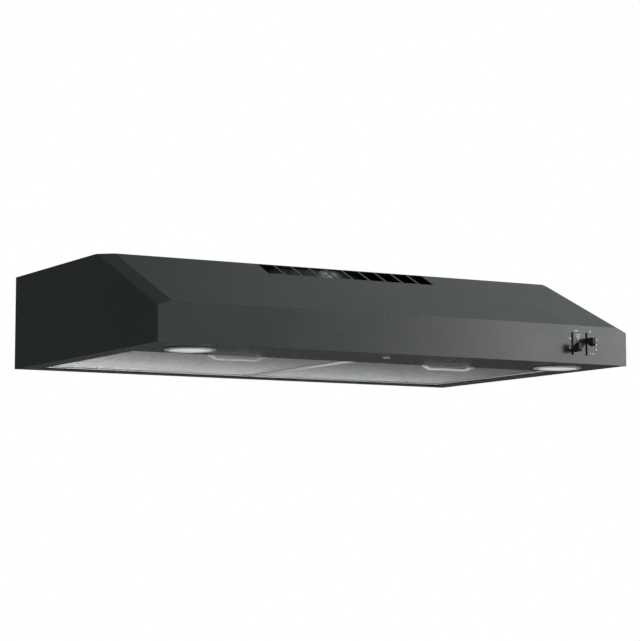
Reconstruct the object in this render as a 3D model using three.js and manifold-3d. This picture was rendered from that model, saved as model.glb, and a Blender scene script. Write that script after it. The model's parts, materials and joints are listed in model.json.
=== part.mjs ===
// Under-cabinet range hood: folded sheet-metal canopy, two mesh filters, centrifugal blower,
// duct collar with a back-draught damper, two lamps and two slide switches.
// Millimetres. +X to the right, +Y towards the wall, +Z up.
// The origin is the middle of the top panel's outer face, which meets the cabinet.

import * as THREE from 'three';
import { mergeVertices } from 'three/addons/utils/BufferGeometryUtils.js';
import Module from 'manifold-3d';

const wasm = await Module();
wasm.setup();

// ---------------------------------------------------------------- driving dimensions

const GAP = 0.3; // clearance between pieces that touch

// canopy
const WIDTH = 759;
const DEPTH = 496;
const HEIGHT = 138;
const SHEET = 0.9;
const FRONT_HEIGHT = 55.5; // height of the vertical front face
const SLOPE_RUN = 181; // depth of the sloping panel
const BAND_WIDTH = 20; // bevelled band at each end of the slope
const BAND_DROP = 7;
const CORNER = 1.2; // bevel on the upright front corners

// underside
const LAMP_PANEL_DEPTH = 136;
const SIDE_RAIL_WIDTH = 30;
const REAR_RAIL_DEPTH = 22;
const LIP_HEIGHT = 12;

// filters
const FILTER_LIFT = 2; // filter's lower face above the rim
const FILTER_THICKNESS = 9;
const FILTER_SIDE_CLEARANCE = 1;
const FILTER_REAR_CLEARANCE = 4; // room for the leaf springs
const FILTER_CENTRE_GAP = 1.5;
const FRAME_WIDTH = 9;
const FRAME_SHEET = 1;
const MESH_SHEET = 1.1;
const FILTER_SWING_MARGIN = 1;
const PULL_SHIFT = 16; // left of the filter's middle
const PULL_LENGTH = 94;
const PULL_FOOT = 7;
const PULL_SLANT = 8;
const PULL_DROP = 7.8;
const PULL_WIDTH = 10;
const PULL_SHEET = 3;
const SPRING_LENGTH = 30;
const SPRING_HEIGHT = 6;
const SPRING_SHEET = 0.6;
const SPRING_OFFSET = 106; // each side of the filter's middle

// front vents
const VENT_COUNT = 10;
const VENT_PITCH = 27.9;
const VENT_WIDTH = 24;
const VENT_LENGTH = 43.5;
const VENT_SLANT = -3; // how far a slot's lower end lies to the right of its upper end
const VENT_SETBACK = 1.2; // from the fold between slope and top

// duct, collar and damper
const DUCT_WIDTH = 254;
const DUCT_DEPTH = 83;
const DUCT_TO_WALL = 13;
const COLLAR_HEIGHT = 22;
const COLLAR_FLANGE = 11;
const PORT_PLATE_MARGIN = 8;
const PORT_PLATE_SHEET = 1;
const FLAP_SHEET = 1;
const FLAP_LIFT = 8; // damper's lower face above the top panel
const FLAP_CLEARANCE = 1;
const KNUCKLE_RADIUS = 3.2;
const DAMPER_ROD_RADIUS = 1.8;
const DAMPER_LEDGE = 5;

// blower
const BLOWER_X = -40;
const BLOWER_HEIGHT = 88;
const SCROLL_CLEARANCE = 10; // between the impeller and the tongue
const SCROLL_FRONT_MARGIN = 6.8; // behind the fold between slope and top
const SCROLL_REAR_MARGIN = 4.9; // in front of the scroll's mouth
const TONGUE_ANGLE = 50;
const OUTLET_GAP = 1.5; // between the scroll's mouth and the outlet box
const IMPELLER_RADIUS = 74;
const INLET_LIP = 6;
const BLADE_COUNT = 28;
const BLADE_CHORD = 12;
const BLADE_SHEET = 0.9;
const BLADE_TILT = 35;
const IMPELLER_CLEARANCE = 9;
const HUB_SHEET = 2;
const HUB_RADIUS = 9;
const HUB_LENGTH = 18;
const SHAFT_RADIUS = 4;
const MOTOR_RADIUS = 38;
const MOTOR_LENGTH = 53;
const MOTOR_EDGE = 4;
const BRACKET_SHEET = 1.8;
const BRACKET_ARM = 14;
const BRACKET_OVERLAP = 16; // how far the bracket's arms reach past the inlet

// lamps
const LAMP_FROM_SIDE = 79;
const LAMP_FROM_FRONT = 64;
const BEZEL_OVERLAP = 4; // beyond the can
const BEZEL_DEPTH = 3.4;
const LENS_INSET = 2.3; // within the can
const LENS_BULGE = 4.8;
const LENS_SHEET = 2;
const LAMP_CAN_RADIUS = 31;
const LAMP_CAN_HEIGHT = 38;
const LAMP_CAN_SHEET = 1;
const LAMP_CAN_FLANGE = 5; // width
const BULB_RADIUS = 9;
const BULB_LENGTH = 20;
const SOCKET_RADIUS = 11;
const SOCKET_HEIGHT = 12;

// plug in the middle of the lamp panel
const PLUG_FROM_FRONT = 54;
const PLUG_RADIUS = 10;
const PLUG_DEPTH = 1.8;
const PLUG_HOLE_RADIUS = 6;
const PLUG_SHANK = 2.5; // above the panel

// switches: the fan's is nearer the middle, the lights' nearer the end
const FAN_SWITCH_FROM_SIDE = 98;
const LIGHT_SWITCH_FROM_SIDE = 73;
const SLOT_BOTTOM = 12;
const SLOT_HEIGHT = 33;
const SLOT_WIDTH = 3.6;
const KNOB_WIDTH = 5.6;
const KNOB_HEIGHT = 12.4;
const KNOB_ROOT = 6; // height where the lever meets the front face
const KNOB_REACH = 19;
const KNOB_CREST = 12; // how far out the lever reaches its full height
const KNOB_STANDOFF = 0.6;
const STEM_WIDTH = 2.4;
const STEM_HEIGHT = 7;
const FAN_KNOB_HEIGHT_AT_REST = 19;
const LIGHT_KNOB_HEIGHT_AT_REST = 34;
const SWITCH_BODY_WIDTH = 18;
const SWITCH_BODY_DEPTH = 18;
const SWITCH_BODY_HEIGHT = 42;
const SWITCH_BRACKET_MARGIN = 8;
const SWITCH_GROOVE_DEPTH = 9;

// wiring
const WIRING_BOX_X = 200;
const WIRING_BOX_WIDTH = 120;
const WIRING_BOX_DEPTH = 100;
const WIRING_BOX_HEIGHT = 56;
const COVER_TAB = 10;
const CABLE_HOLE_RADIUS = 11;
const CABLE_BORE_RADIUS = 7.5;
const BUSHING_FLANGE = 3;
const CABLE_HOLE_DROP = 30; // below the top panel
const CAPACITOR_RADIUS = 14;
const CAPACITOR_LENGTH = 50;
const CAPACITOR_FROM_SIDE = 12;
const CAPACITOR_FROM_FRONT = 30;
const TERMINAL_SIZE = [40, 18, 14];
const TERMINAL_FROM_SIDE = 10;
const TERMINAL_FROM_FRONT = 26;
const TERMINAL_WELL_RADIUS = 2.4;
const TERMINAL_WELL_DEPTH = 8;

// fasteners
const SCREW_RADIUS = 1.8;
const SCREW_HEAD_RADIUS = 3.8;
const SCREW_HEAD_HEIGHT = 2.2;
const SCREW_LENGTH = 6;
const SCREW_SLOT = 1; // width and depth of the cross in its head
const KEYHOLE_RADIUS = 6;
const KEYHOLE_NECK = 3;
const KEYHOLE_LENGTH = 14;
const KEYHOLE_FROM_SIDE = 34;
const KEYHOLE_FROM_FOLD = 40;
const KEYHOLE_FROM_WALL = 55;

// ---------------------------------------------------------------- derived places

const BEZEL_RADIUS = LAMP_CAN_RADIUS + BEZEL_OVERLAP;
const LENS_RADIUS = LAMP_CAN_RADIUS - LENS_INSET;
const LAMP_FLANGE_RADIUS = LAMP_CAN_RADIUS + LAMP_CAN_FLANGE;

const SIDE = WIDTH / 2;
const FRONT = -DEPTH / 2;
const WALL = DEPTH / 2;
const RIM = -HEIGHT;
const FOLD_Y = FRONT + SLOPE_RUN;
const SLOPE = Math.atan2(HEIGHT - FRONT_HEIGHT, SLOPE_RUN);
const INNER_SIDE = SIDE - SHEET - GAP; // half width between the side panels
const INNER_WALL = WALL - SHEET - GAP;
const OPENING_HALF = SIDE - SIDE_RAIL_WIDTH;
const OPENING_FRONT = FRONT + LAMP_PANEL_DEPTH;
const OPENING_REAR = WALL - REAR_RAIL_DEPTH;
const CEILING = -SHEET - GAP; // highest plane under the top panel
const BLOWER_FLOOR = CEILING - BLOWER_HEIGHT;
const DUCT_REAR = WALL - DUCT_TO_WALL;
const DUCT_FRONT = DUCT_REAR - DUCT_DEPTH;
const OUTLET_FRONT = DUCT_FRONT - SHEET;
const MOUTH = OUTLET_FRONT - OUTLET_GAP; // where the scroll ends
const SCROLL_START = IMPELLER_RADIUS + SCROLL_CLEARANCE; // scroll radius at the tongue
const SCROLL_TURN = 360 - TONGUE_ANGLE;
const SCROLL_REAR_SHARE = (90 - TONGUE_ANGLE) / SCROLL_TURN; // of the growth, reached towards the wall
const SCROLL_FRONT_SHARE = (270 - TONGUE_ANGLE) / SCROLL_TURN; // and towards the front
const SCROLL_ROOM = MOUTH - FOLD_Y - SCROLL_FRONT_MARGIN - SCROLL_REAR_MARGIN - 2 * SCROLL_START;
const SCROLL_GROWTH = SCROLL_ROOM / (SCROLL_REAR_SHARE + SCROLL_FRONT_SHARE);
const SCROLL_END = SCROLL_START + SCROLL_GROWTH; // scroll radius where the outlet begins
const BLOWER_Y = FOLD_Y + SCROLL_FRONT_MARGIN + SCROLL_START + SCROLL_FRONT_SHARE * SCROLL_GROWTH;
const INLET_RADIUS = IMPELLER_RADIUS - BLADE_CHORD - 2;
const BRACKET_REACH = INLET_RADIUS + BRACKET_OVERLAP;
const FILTER_DEPTH = OPENING_REAR - FILTER_REAR_CLEARANCE - OPENING_FRONT - FILTER_SWING_MARGIN;
const FILTER_WIDTH = OPENING_HALF - FILTER_SIDE_CLEARANCE - FILTER_CENTRE_GAP / 2;

// ---------------------------------------------------------------- geometry helpers

// A closed, outward-facing solid from any closed three.js geometry.
function solid(geometry) {
  const bare = geometry.clone();
  bare.deleteAttribute('normal');
  bare.deleteAttribute('uv');
  const merged = mergeVertices(bare, 1e-4);
  const points = merged.attributes.position;
  const corner = (i) => new THREE.Vector3().fromBufferAttribute(points, i);
  const faces = [];
  let volume = 0;
  for (let i = 0; i < merged.index.count; i += 3) {
    const [a, b, c] = [0, 1, 2].map((k) => merged.index.getX(i + k));
    if (a === b || b === c || c === a) continue;
    volume += corner(a).dot(corner(b).cross(corner(c)));
    faces.push([a, b, c]);
  }
  const triVerts = Uint32Array.from(faces.flatMap(([a, b, c]) => (volume > 0 ? [a, b, c] : [a, c, b])));
  const vertProperties = Float32Array.from(points.array);
  return new wasm.Manifold(new wasm.Mesh({ numProp: 3, vertProperties, triVerts }));
}

const union = (...pieces) => pieces.reduce((whole, piece) => whole.add(piece));
const cut = (whole, ...tools) => tools.reduce((rest, tool) => rest.subtract(tool), whole);

function box(x0, x1, y0, y1, z0, z1) {
  const geometry = new THREE.BoxGeometry(x1 - x0, y1 - y0, z1 - z0);
  return solid(geometry.translate((x0 + x1) / 2, (y0 + y1) / 2, (z0 + z1) / 2));
}

function extrude(points, depth) {
  const shape = new THREE.Shape(points.map(([u, v]) => new THREE.Vector2(u, v)));
  return new THREE.ExtrudeGeometry(shape, { depth, bevelEnabled: false });
}

const AXES = { x: new THREE.Vector3(1, 0, 0), y: new THREE.Vector3(0, 1, 0), z: new THREE.Vector3(0, 0, 1) };

// An outline of [y, z] points drawn along X.
function alongX(points, x0, x1) {
  const turn = new THREE.Matrix4().makeBasis(AXES.y, AXES.z, AXES.x);
  return solid(extrude(points, x1 - x0).applyMatrix4(turn).translate(x0, 0, 0));
}

// An outline of [x, z] points drawn along Y.
function alongY(points, y0, y1) {
  const turn = new THREE.Matrix4().makeBasis(AXES.x, AXES.z, AXES.y.clone().negate());
  return solid(extrude(points, y1 - y0).applyMatrix4(turn).translate(0, y1, 0));
}

// An outline of [x, y] points drawn along Z.
function alongZ(points, z0, z1) {
  return solid(extrude(points, z1 - z0).translate(0, 0, z0));
}

function rod(radius, z0, z1, x = 0, y = 0, segments = 24) {
  const geometry = new THREE.CylinderGeometry(radius, radius, z1 - z0, segments);
  return solid(geometry.rotateX(Math.PI / 2).translate(x, y, (z0 + z1) / 2));
}

// A profile of [radius, z] points turned about Z.
function turned(profile, segments = 32) {
  const points = profile.map(([radius, z]) => new THREE.Vector2(radius, z));
  return solid(new THREE.LatheGeometry(points, segments).rotateX(Math.PI / 2));
}

// Everything beyond a plane, as a large block.
function beyond(normal, point) {
  const size = 4 * WIDTH;
  const turn = new THREE.Quaternion().setFromUnitVectors(AXES.z, normal);
  const block = new THREE.BoxGeometry(size, size, size).translate(0, 0, size / 2);
  return solid(block.applyQuaternion(turn).translate(point.x, point.y, point.z));
}

// ---------------------------------------------------------------- scene helpers

const hood = new THREE.Group();

const finish = (color, roughness, metalness) => () =>
  new THREE.MeshStandardMaterial({ color, roughness, metalness });
const blackPaint = finish('#2b3030', 0.5, 0.2);
const galvanised = finish('#9aa0a3', 0.45, 0.9);
const aluminium = finish('#b9bcbd', 0.35, 0.9);
const blackPlastic = finish('#141516', 0.55, 0);
const whiteTrim = finish('#e4e6e6', 0.3, 0.1);
const frosted = finish('#f4f5f2', 0.4, 0);
const ceramic = finish('#d8d4c8', 0.7, 0);
const steel = finish('#8b8f92', 0.35, 1);
const rubber = finish('#1b1b1b', 0.85, 0);

function add(name, shape, material, parent = hood) {
  const { vertProperties, triVerts } = shape.getMesh();
  const geometry = new THREE.BufferGeometry();
  geometry.setAttribute('position', new THREE.BufferAttribute(vertProperties, 3));
  geometry.setIndex(new THREE.BufferAttribute(triVerts, 1));
  geometry.computeVertexNormals();
  const mesh = new THREE.Mesh(geometry, material());
  mesh.name = name;
  parent.add(mesh);
  return mesh;
}

function groupAt(x, y, z) {
  const group = new THREE.Group();
  group.position.set(x, y, z);
  hood.add(group);
  return group;
}

// ---------------------------------------------------------------- screws

// The screw's head faces +Z before it is turned; its seat is the group's origin.
function screw() {
  const head = [[0, GAP], [SCREW_HEAD_RADIUS, GAP], [SCREW_HEAD_RADIUS, SCREW_HEAD_HEIGHT * 0.5],
    [SCREW_HEAD_RADIUS * 0.7, SCREW_HEAD_HEIGHT], [0, SCREW_HEAD_HEIGHT]];
  const [arm, half] = [SCREW_HEAD_RADIUS / 2, SCREW_SLOT / 2];
  const slotFloor = SCREW_HEAD_HEIGHT - SCREW_SLOT;
  const cross = box(-arm, arm, -half, half, slotFloor, SCREW_HEAD_HEIGHT + 1);
  const crossways = box(-half, half, -arm, arm, slotFloor, SCREW_HEAD_HEIGHT + 1);
  const whole = union(turned(head, 16), rod(SCREW_RADIUS, GAP - SCREW_LENGTH, GAP + 0.5, 0, 0, 12));
  return cut(whole, cross, crossways);
}

// Turns that face a screw's head down, or towards the front.
const HEAD_DOWN = [Math.PI, 0, 0];
const HEAD_FORWARD = [Math.PI / 2, 0, 0];

function addScrew(name, x, y, z, turn) {
  const mesh = add(name, screw(), steel, groupAt(x, y, z));
  mesh.rotation.set(...turn);
}

const uprightHole = (x, y, z0, z1) => rod(SCREW_RADIUS + GAP, z0, z1, x, y, 12);

function levelHole(x, z, y0, y1, radius = SCREW_RADIUS + GAP, segments = 12) {
  const geometry = new THREE.CylinderGeometry(radius, radius, y1 - y0, segments);
  return solid(geometry.translate(x, (y0 + y1) / 2, z));
}

// ---------------------------------------------------------------- canopy

// Outline of the hood's side, moved inwards by inset, as [y, z] points.
function sideOutline(inset, bottom) {
  const rise = Math.tan(SLOPE);
  const drop = inset / Math.cos(SLOPE);
  const shoulder = RIM + FRONT_HEIGHT;
  const front = FRONT + inset;
  return [[front, bottom], [WALL - inset, bottom], [WALL - inset, -inset],
    [FRONT + (drop - inset - shoulder) / rise, -inset], [front, shoulder + inset * rise - drop]];
}

// The hood's outer form with its bevelled ends, moved inwards by inset.
function envelope(inset, bottom = RIM) {
  let form = alongX(sideOutline(inset, bottom), inset - SIDE, SIDE - inset);
  for (const side of [-1, 1]) {
    const lean = new THREE.Vector3(side * BAND_DROP, -BAND_WIDTH * Math.sin(SLOPE),
      BAND_WIDTH * Math.cos(SLOPE)).normalize();
    const shoulder = new THREE.Vector3(side * (SIDE - BAND_WIDTH), FRONT, RIM + FRONT_HEIGHT);
    const diagonal = new THREE.Vector3(side, -1, 0).normalize();
    const corner = new THREE.Vector3(side * SIDE, FRONT + CORNER, 0);
    form = cut(form, beyond(lean, shoulder.addScaledVector(lean, -inset)),
      beyond(diagonal, corner.addScaledVector(diagonal, -inset)));
  }
  return form;
}

const slotX = { fan: SIDE - FAN_SWITCH_FROM_SIDE, light: SIDE - LIGHT_SWITCH_FROM_SIDE };

function switchSlots(y0, y1) {
  return Object.values(slotX).map((x) => box(x - SLOT_WIDTH / 2, x + SLOT_WIDTH / 2, y0, y1,
    RIM + SLOT_BOTTOM, RIM + SLOT_BOTTOM + SLOT_HEIGHT));
}

// Slanted slots that run down the slope from just below its upper fold.
function ventSlots() {
  const top = -VENT_SETBACK;
  const bottom = top - VENT_LENGTH;
  const outline = [[0, top], [VENT_SLANT, bottom], [VENT_SLANT + VENT_WIDTH, bottom], [VENT_WIDTH, top]];
  const rowWidth = (VENT_COUNT - 1) * VENT_PITCH + VENT_WIDTH;
  return Array.from({ length: VENT_COUNT }, (_, i) => {
    const slot = extrude(outline, 20 * SHEET).translate(0, 0, -10 * SHEET).rotateX(SLOPE);
    return solid(slot.translate(i * VENT_PITCH - rowWidth / 2, FOLD_Y, 0));
  });
}

function keyholes() {
  const holes = [];
  for (const x of [KEYHOLE_FROM_SIDE - SIDE, SIDE - KEYHOLE_FROM_SIDE]) {
    for (const y of [FOLD_Y + KEYHOLE_FROM_FOLD, WALL - KEYHOLE_FROM_WALL]) {
      const neck = box(x - KEYHOLE_NECK, x + KEYHOLE_NECK, y, y + KEYHOLE_LENGTH, -SHEET - 1, 1);
      holes.push(union(rod(KEYHOLE_RADIUS, -SHEET - 1, 1, x, y), neck));
    }
  }
  return holes;
}

function ductHole(z0, z1) {
  return box(-DUCT_WIDTH / 2, DUCT_WIDTH / 2, DUCT_FRONT, DUCT_REAR, z0, z1);
}

const canopyWalls = cut(envelope(0), envelope(SHEET, RIM - 1));

// The front face and the slope, folded from one sheet.
function frontPanel() {
  const part = box(-INNER_SIDE, INNER_SIDE, FRONT - 1, FOLD_Y, RIM - 1, 1);
  return cut(canopyWalls.intersect(part), ...ventSlots(), ...switchSlots(FRONT - 1, FRONT + SHEET + 1));
}

function topPanel() {
  const part = box(-INNER_SIDE, INNER_SIDE, FOLD_Y + GAP, INNER_WALL, -HEIGHT / 2, 1);
  return cut(canopyWalls.intersect(part), ductHole(-SHEET - 1, 1), ...keyholes());
}

function sidePanel(side) {
  const slab = [side * (SIDE - SHEET), side * (SIDE + 1)].sort((a, b) => a - b);
  return envelope(0).intersect(box(...slab, FRONT - 1, WALL + 1, RIM - 1, 1));
}

const cableHoleX = WIRING_BOX_X + WIRING_BOX_WIDTH / 2;
const PORT_PLATE_FRONT = INNER_WALL - PORT_PLATE_SHEET;
const REAR_PORT_TOP = CEILING - SHEET;
const REAR_PORT_BOTTOM = REAR_PORT_TOP - DUCT_DEPTH;
const plateScrewX = DUCT_WIDTH / 2 + PORT_PLATE_MARGIN / 2 + SCREW_RADIUS;

function backPanel() {
  const panel = box(-INNER_SIDE, INNER_SIDE, WALL - SHEET, WALL, RIM, 0);
  const port = box(-DUCT_WIDTH / 2, DUCT_WIDTH / 2, WALL - 5, WALL + 1, REAR_PORT_BOTTOM, REAR_PORT_TOP);
  const cable = levelHole(cableHoleX, -CABLE_HOLE_DROP, WALL - 5, WALL + 1, CABLE_HOLE_RADIUS, 24);
  const screws = plateScrews().map(([x, z]) => levelHole(x, z, WALL - 5, WALL + 1));
  return cut(panel, port, cable, ...screws);
}

// Places of the screws that hold the plate over the rear duct opening.
function plateScrews() {
  const z = (REAR_PORT_TOP + REAR_PORT_BOTTOM) / 2;
  return [[-plateScrewX, z], [plateScrewX, z]];
}

function rearPortPlate() {
  const half = plateScrewX + PORT_PLATE_MARGIN;
  const plate = box(-half, half, PORT_PLATE_FRONT, INNER_WALL, REAR_PORT_BOTTOM - PORT_PLATE_MARGIN, CEILING);
  return cut(plate, ...plateScrews().map(([x, z]) => levelHole(x, z, WALL - 9, WALL)));
}

function addCanopy() {
  add('front_panel', frontPanel(), blackPaint);
  add('top_panel', topPanel(), blackPaint);
  add('left_side_panel', sidePanel(-1), blackPaint);
  add('right_side_panel', sidePanel(1), blackPaint);
  add('back_panel', backPanel(), blackPaint);
  add('rear_port_plate', rearPortPlate(), galvanised);
  plateScrews().forEach(([x, z], i) => {
    addScrew(`port_plate_screw_${i + 1}`, x, PORT_PLATE_FRONT, z, HEAD_FORWARD);
  });
}

// ---------------------------------------------------------------- underside

const lampX = SIDE - LAMP_FROM_SIDE;
const lampY = FRONT + LAMP_FROM_FRONT;
const plugY = FRONT + PLUG_FROM_FRONT;

function lampPanel() {
  const plate = box(-SIDE, SIDE, FRONT, OPENING_FRONT, RIM, RIM + SHEET);
  const lip = box(-SIDE, SIDE, OPENING_FRONT - SHEET, OPENING_FRONT, RIM, RIM + LIP_HEIGHT);
  const holes = [-lampX, lampX].map((x) => rod(LAMP_CAN_RADIUS, RIM - 1, RIM + SHEET + 1, x, lampY, 32));
  const plugHole = rod(PLUG_HOLE_RADIUS, RIM - 1, RIM + SHEET + 1, 0, plugY);
  return cut(union(plate, lip), ...holes, plugHole).intersect(envelope(SHEET + GAP, RIM));
}

// A domed button that snaps into the lamp panel's middle hole.
function centrePlug() {
  const steps = 4;
  const dome = Array.from({ length: steps + 1 }, (_, i) => i / steps)
    .map((t) => [PLUG_RADIUS * t, -GAP - PLUG_DEPTH * Math.sqrt(1 - t ** 4)]);
  const shank = PLUG_HOLE_RADIUS - GAP;
  return turned([...dome, [shank, -GAP], [shank, SHEET + PLUG_SHANK], [0, SHEET + PLUG_SHANK]]);
}

function sideRail(side) {
  const outline = [[INNER_SIDE, RIM], [INNER_SIDE, RIM + SHEET], [OPENING_HALF + SHEET, RIM + SHEET],
    [OPENING_HALF + SHEET, RIM + LIP_HEIGHT], [OPENING_HALF, RIM + LIP_HEIGHT], [OPENING_HALF, RIM]];
  return alongY(outline.map(([x, z]) => [side * x, z]), OPENING_FRONT + GAP, OPENING_REAR - GAP);
}

function rearRail() {
  const outline = [[OPENING_REAR, RIM], [INNER_WALL, RIM], [INNER_WALL, RIM + SHEET],
    [OPENING_REAR + SHEET, RIM + SHEET], [OPENING_REAR + SHEET, RIM + LIP_HEIGHT],
    [OPENING_REAR, RIM + LIP_HEIGHT]];
  return alongX(outline, -INNER_SIDE, INNER_SIDE);
}

function addUnderside() {
  add('lamp_panel', lampPanel(), blackPaint);
  add('left_rail', sideRail(-1), blackPaint);
  add('right_rail', sideRail(1), blackPaint);
  add('rear_rail', rearRail(), blackPaint);
  add('centre_plug', centrePlug(), blackPaint, groupAt(0, plugY, RIM));
}

// ---------------------------------------------------------------- filters

// Filter pieces are drawn from the middle of the filter's rear lower edge, its hinge line.
function slab(inset, z0, z1) {
  return box(inset - FILTER_WIDTH / 2, FILTER_WIDTH / 2 - inset, inset - FILTER_DEPTH, -inset, z0, z1);
}

function filterFrame() {
  const groove = slab(FRAME_SHEET, FRAME_SHEET, FILTER_THICKNESS - FRAME_SHEET);
  return cut(slab(0, 0, FILTER_THICKNESS), slab(FRAME_WIDTH, -1, FILTER_THICKNESS + 1), groove);
}

// A sheet of expanded metal, held in the frame's groove against one of its flanges.
function filterMesh(floor) {
  return slab(FRAME_SHEET + GAP, floor, floor + MESH_SHEET);
}

// A bowed strap for the fingers, riveted under the frame's front bar.
function filterPull() {
  const foot = PULL_LENGTH / 2 - PULL_FOOT;
  const knee = foot - PULL_SLANT;
  const shift = PULL_SHEET / 4;
  const half = [[knee, -PULL_DROP], [foot, -GAP - PULL_SHEET], [PULL_LENGTH / 2, -GAP - PULL_SHEET],
    [PULL_LENGTH / 2, -GAP], [foot - shift, -GAP], [knee - shift, PULL_SHEET - PULL_DROP]];
  const outline = [...half, ...half.map(([x, z]) => [-x, z]).reverse()];
  return alongY(outline, -FILTER_DEPTH, PULL_WIDTH - FILTER_DEPTH);
}

// A bowed leaf between the frame's rear edge and the rear rail.
function filterSpring() {
  const bow = FILTER_REAR_CLEARANCE - 2 * GAP - SPRING_SHEET;
  const steps = 10;
  const arch = Array.from({ length: steps + 1 }, (_, i) => i / steps)
    .map((t) => [(t - 0.5) * SPRING_LENGTH, GAP + bow * Math.sin(Math.PI * t)]);
  const outline = [...arch, ...arch.map(([x, y]) => [x, y + SPRING_SHEET]).reverse()];
  const lift = (FILTER_THICKNESS - SPRING_HEIGHT) / 2;
  return alongZ(outline, lift, lift + SPRING_HEIGHT);
}

function addFilter(name, side) {
  const x = side * (FILTER_CENTRE_GAP + FILTER_WIDTH) / 2;
  const filter = groupAt(x, OPENING_REAR - FILTER_REAR_CLEARANCE, RIM + FILTER_LIFT);
  add(`${name}_filter_frame`, filterFrame(), aluminium, filter);
  const foilFloor = FILTER_THICKNESS - FRAME_SHEET - GAP - MESH_SHEET;
  add(`${name}_filter_mesh`, filterMesh(FRAME_SHEET + GAP), aluminium, filter);
  add(`${name}_filter_foil`, filterMesh(foilFloor), aluminium, filter);
  add(`${name}_filter_pull`, filterPull(), aluminium, filter).position.x = -PULL_SHIFT;
  add(`${name}_filter_spring_1`, filterSpring(), steel, filter).position.x = -SPRING_OFFSET;
  add(`${name}_filter_spring_2`, filterSpring(), steel, filter).position.x = SPRING_OFFSET;
}

// ---------------------------------------------------------------- lamps

// Lamp pieces are drawn from the middle of the lamp's hole in the panel's lower face.
function lampBezel() {
  const neck = LAMP_CAN_RADIUS - LAMP_CAN_SHEET - 2 * GAP;
  const clipTop = SHEET * 4;
  return turned([[LENS_RADIUS + GAP, -BEZEL_DEPTH], [BEZEL_RADIUS - 2, -BEZEL_DEPTH],
    [BEZEL_RADIUS - 0.6, -BEZEL_DEPTH + 0.8], [BEZEL_RADIUS, -BEZEL_DEPTH / 2],
    [BEZEL_RADIUS - 0.6, -GAP], [neck, -GAP], [neck, clipTop], [LENS_RADIUS + GAP, clipTop],
    [LENS_RADIUS + GAP, -BEZEL_DEPTH]], 48);
}

function lampLens() {
  const steps = 6;
  const edge = -BEZEL_DEPTH * 0.6;
  const bulge = LENS_BULGE - BEZEL_DEPTH * 0.6;
  const dome = Array.from({ length: steps + 1 }, (_, i) => i / steps)
    .map((t) => [LENS_RADIUS * t, edge - bulge * (1 - t * t)]);
  return turned([...dome, [LENS_RADIUS, edge + LENS_SHEET], [0, edge + LENS_SHEET]], 48);
}

function lampCan() {
  const floor = SHEET + GAP;
  const inner = LAMP_CAN_RADIUS - LAMP_CAN_SHEET;
  return turned([[inner, floor], [LAMP_FLANGE_RADIUS, floor], [LAMP_FLANGE_RADIUS, floor + LAMP_CAN_SHEET],
    [LAMP_CAN_RADIUS, floor + LAMP_CAN_SHEET], [LAMP_CAN_RADIUS, LAMP_CAN_HEIGHT], [0, LAMP_CAN_HEIGHT],
    [0, LAMP_CAN_HEIGHT - LAMP_CAN_SHEET], [inner, LAMP_CAN_HEIGHT - LAMP_CAN_SHEET], [inner, floor]]);
}

function lampSocket() {
  const top = LAMP_CAN_HEIGHT - LAMP_CAN_SHEET - GAP;
  return rod(SOCKET_RADIUS, top - SOCKET_HEIGHT, top);
}

function lampBulb() {
  const top = LAMP_CAN_HEIGHT - LAMP_CAN_SHEET - 2 * GAP - SOCKET_HEIGHT;
  const bottom = top - BULB_LENGTH;
  const rounding = BULB_LENGTH / 4;
  const capRadius = BULB_RADIUS * 0.6;
  return turned([[0, bottom], [capRadius, bottom + rounding / 4], [BULB_RADIUS, bottom + rounding],
    [BULB_RADIUS, top - rounding], [capRadius, top], [0, top]], 20);
}

function addLamp(name, x) {
  const lamp = groupAt(x, lampY, RIM);
  add(`${name}_lamp_bezel`, lampBezel(), whiteTrim, lamp);
  add(`${name}_lamp_lens`, lampLens(), frosted, lamp);
  add(`${name}_lamp_can`, lampCan(), galvanised, lamp);
  add(`${name}_lamp_socket`, lampSocket(), ceramic, lamp);
  add(`${name}_lamp_bulb`, lampBulb(), frosted, lamp);
}

// ---------------------------------------------------------------- duct collar and damper

const rodY = DUCT_REAR - KNUCKLE_RADIUS - FLAP_CLEARANCE;
const rodZ = FLAP_LIFT + FLAP_SHEET / 2;

function acrossRod(radius, x0, x1, segments = 16) {
  const geometry = new THREE.CylinderGeometry(radius, radius, x1 - x0, segments);
  return solid(geometry.rotateZ(Math.PI / 2).translate((x0 + x1) / 2, rodY, rodZ));
}

function ductCollar() {
  const half = DUCT_WIDTH / 2;
  const ring = (margin, z0, z1) => box(-half - margin, half + margin, DUCT_FRONT - margin,
    DUCT_REAR + margin, z0, z1);
  const ledge = box(-half, half, DUCT_FRONT, DUCT_FRONT + DAMPER_LEDGE, FLAP_LIFT - 2, FLAP_LIFT - 2 * GAP);
  const body = union(ring(COLLAR_FLANGE, GAP, GAP + SHEET), ring(SHEET, GAP, COLLAR_HEIGHT));
  const pinHoles = acrossRod(DAMPER_ROD_RADIUS + GAP, -half - 2 * SHEET, half + 2 * SHEET);
  return cut(union(cut(body, ductHole(-1, COLLAR_HEIGHT + 1)), ledge), pinHoles);
}

function damperFlap() {
  const half = DUCT_WIDTH / 2 - FLAP_CLEARANCE;
  const plate = box(-half, half, DUCT_FRONT + FLAP_CLEARANCE, rodY, FLAP_LIFT, FLAP_LIFT + FLAP_SHEET);
  const knuckle = acrossRod(KNUCKLE_RADIUS, -half, half);
  return cut(union(plate, knuckle), acrossRod(DAMPER_ROD_RADIUS + GAP, -half - 1, half + 1));
}

function damperRod() {
  const half = DUCT_WIDTH / 2 + SHEET + 1;
  return acrossRod(DAMPER_ROD_RADIUS, -half, half);
}

function addDuct() {
  add('duct_collar', ductCollar(), galvanised);
  add('damper_flap', damperFlap(), galvanised);
  add('damper_rod', damperRod(), steel);
}

// ---------------------------------------------------------------- blower

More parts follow.
